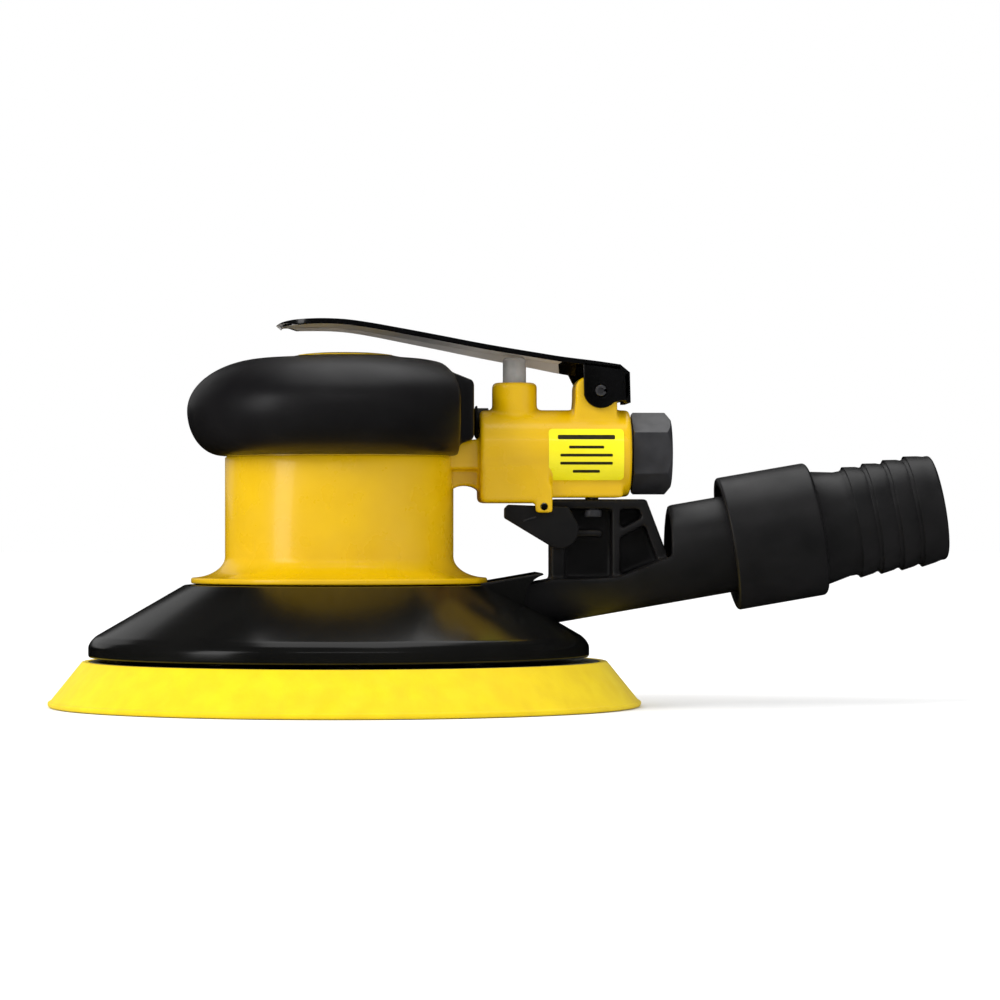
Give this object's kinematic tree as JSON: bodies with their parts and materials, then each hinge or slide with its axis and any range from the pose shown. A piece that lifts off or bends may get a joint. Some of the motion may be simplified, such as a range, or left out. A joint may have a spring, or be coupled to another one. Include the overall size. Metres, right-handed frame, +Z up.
{
  "type": "orbital sander",
  "caption": "Palm-grip pneumatic random-orbital sander with a round foam pad, throttle lever, speed regulator and a swivelling dust-hose tail.",
  "frame": {"origin": "where the motor axis meets the sanded surface, on the underside of the pad", "axes": "+Z up the motor axis, +X along the valve body towards the dust-hose tail"},
  "size_m": [0.2281, 0.15, 0.0975],
  "materials": {
    "yellow_enamel": "gloss enamel over an aluminium casting",
    "yellow_foam": "fine closed-cell polyurethane foam",
    "black_rubber": "satin moulded rubber",
    "black_moulding": "satin glass-filled nylon",
    "badge_black": "satin domed face with a yellow band",
    "grey_acetal": "polished acetal rod",
    "hook_fabric": "woven hook face",
    "black_enamel": "gloss black enamel on sheet steel",
    "backplate_grey": "moulded fibre-filled plate",
    "blackened_steel": "black oxide, lightly oiled",
    "bright_steel": "ground steel",
    "cast_steel": "machined iron",
    "phenolic": "cloth-filled phenolic",
    "brass": "turned brass",
    "nitrile": "moulded nitrile rubber"
  },
  "bodies": {
    "housing": {"motor_housing": "yellow_enamel", "grip_cover": "black_rubber", "badge": "badge_black", "dust_shroud": "black_moulding", "cylinder_liner": "cast_steel", "front_end_plate": "cast_steel", "rear_end_plate": "cast_steel", "lock_ring": "bright_steel", "liner_dowel": "bright_steel", "front_bearing_outer_race": "bright_steel", "rear_bearing_outer_race": "bright_steel", "lever_pin": "blackened_steel", "stem_sleeve": "brass", "valve_seat": "nitrile", "valve_spring": "bright_steel", "inlet_bushing": "blackened_steel", "inlet_screen": "brass", "bore_plug": "nitrile", "regulator_stop_pin": "bright_steel", "exhaust_duct": "black_moulding", "duct_screw_1": "blackened_steel", "duct_screw_2": "blackened_steel", "swivel_seal": "nitrile", "swivel_clip": "blackened_steel"},
    "rotor": {"shaft_balancer": "cast_steel", "rotor": "cast_steel", "rotor_key": "bright_steel", "vane_1": "phenolic", "vane_2": "phenolic", "vane_3": "phenolic", "vane_4": "phenolic", "vane_5": "phenolic", "front_bearing_inner_race": "bright_steel", "rear_bearing_inner_race": "bright_steel", "spindle_bearing_outer_race": "bright_steel", "spindle_clip": "blackened_steel"},
    "front_cage": {"front_bearing_cage": "brass"},
    "rear_cage": {"rear_bearing_cage": "brass"},
    "spindle_cage": {"spindle_bearing_cage": "brass"},
    "pad": {"pad_foam": "yellow_foam", "pad_hook_face": "hook_fabric", "pad_backplate": "backplate_grey", "pad_hub": "bright_steel", "pad_spindle": "bright_steel", "spindle_bearing_inner_race": "bright_steel"},
    "lever": {"throttle_lever": "black_enamel"},
    "stem": {"valve_stem": "grey_acetal"},
    "tilt_valve": {"tilt_valve": "brass"},
    "regulator": {"regulator_lever": "black_moulding"},
    "hose_tail": {"hose_fitting": "black_moulding"}
  },
  "joints": [
    {"name": "rotor_spin", "type": "hinge", "parent": "housing", "child": "rotor", "pos_m": [0, 0, 0.05], "axis": [0, 0, 1], "continuous": true},
    {"name": "pad_spin", "type": "hinge", "parent": "rotor", "child": "pad", "pos_m": [0.0015, 0.002, 0.015], "axis": [0, 0, 1], "continuous": true},
    {"name": "lever_press", "type": "hinge", "parent": "housing", "child": "lever", "pos_m": [0.0657, 0, 0.0797], "axis": [0, -1, 0], "range_deg": [0, 4.5], "stiffness_Nm_per_rad": 2, "springref_deg": -11.46},
    {"name": "stem_slide", "type": "slide", "parent": "housing", "child": "stem", "axis": [0, 0, -1], "range_m": [0, 0.0018]},
    {"name": "tilt_open", "type": "hinge", "parent": "housing", "child": "tilt_valve", "pos_m": [0.0556, 0, 0.0682], "axis": [0, -1, 0], "range_deg": [0, 9.2], "deforming": ["valve_spring"]},
    {"name": "regulator_turn", "type": "hinge", "parent": "housing", "child": "regulator", "pos_m": [0.0554, 0, 0.0446], "axis": [0, -1, 0], "range_deg": [0, 45]},
    {"name": "hose_swivel", "type": "hinge", "parent": "housing", "child": "hose_tail", "pos_m": [0.0445, 0, 0.03165], "axis": [0.9853, 0, 0.1709], "continuous": true},
    {"name": "front_cage_roll", "type": "hinge", "parent": "housing", "child": "front_cage", "pos_m": [0, 0, 0.0387], "axis": [0, 0, 1], "continuous": true},
    {"name": "rear_cage_roll", "type": "hinge", "parent": "housing", "child": "rear_cage", "pos_m": [0, 0, 0.0756], "axis": [0, 0, 1], "continuous": true},
    {"name": "spindle_cage_roll", "type": "hinge", "parent": "rotor", "child": "spindle_cage", "pos_m": [0.0015, 0.002, 0.019], "axis": [0, 0, 1], "continuous": true}
  ],
  "couplings": [
    {"joint": "stem_slide", "follows": "lever_press", "m_per_rad": 0.02135},
    {"joint": "tilt_open", "follows": "lever_press", "ratio": 1.95},
    {"joint": "front_cage_roll", "follows": "rotor_spin", "ratio": 0.4},
    {"joint": "rear_cage_roll", "follows": "rotor_spin", "ratio": 0.4},
    {"joint": "spindle_cage_roll", "follows": "pad_spin", "ratio": 0.4}
  ]
}
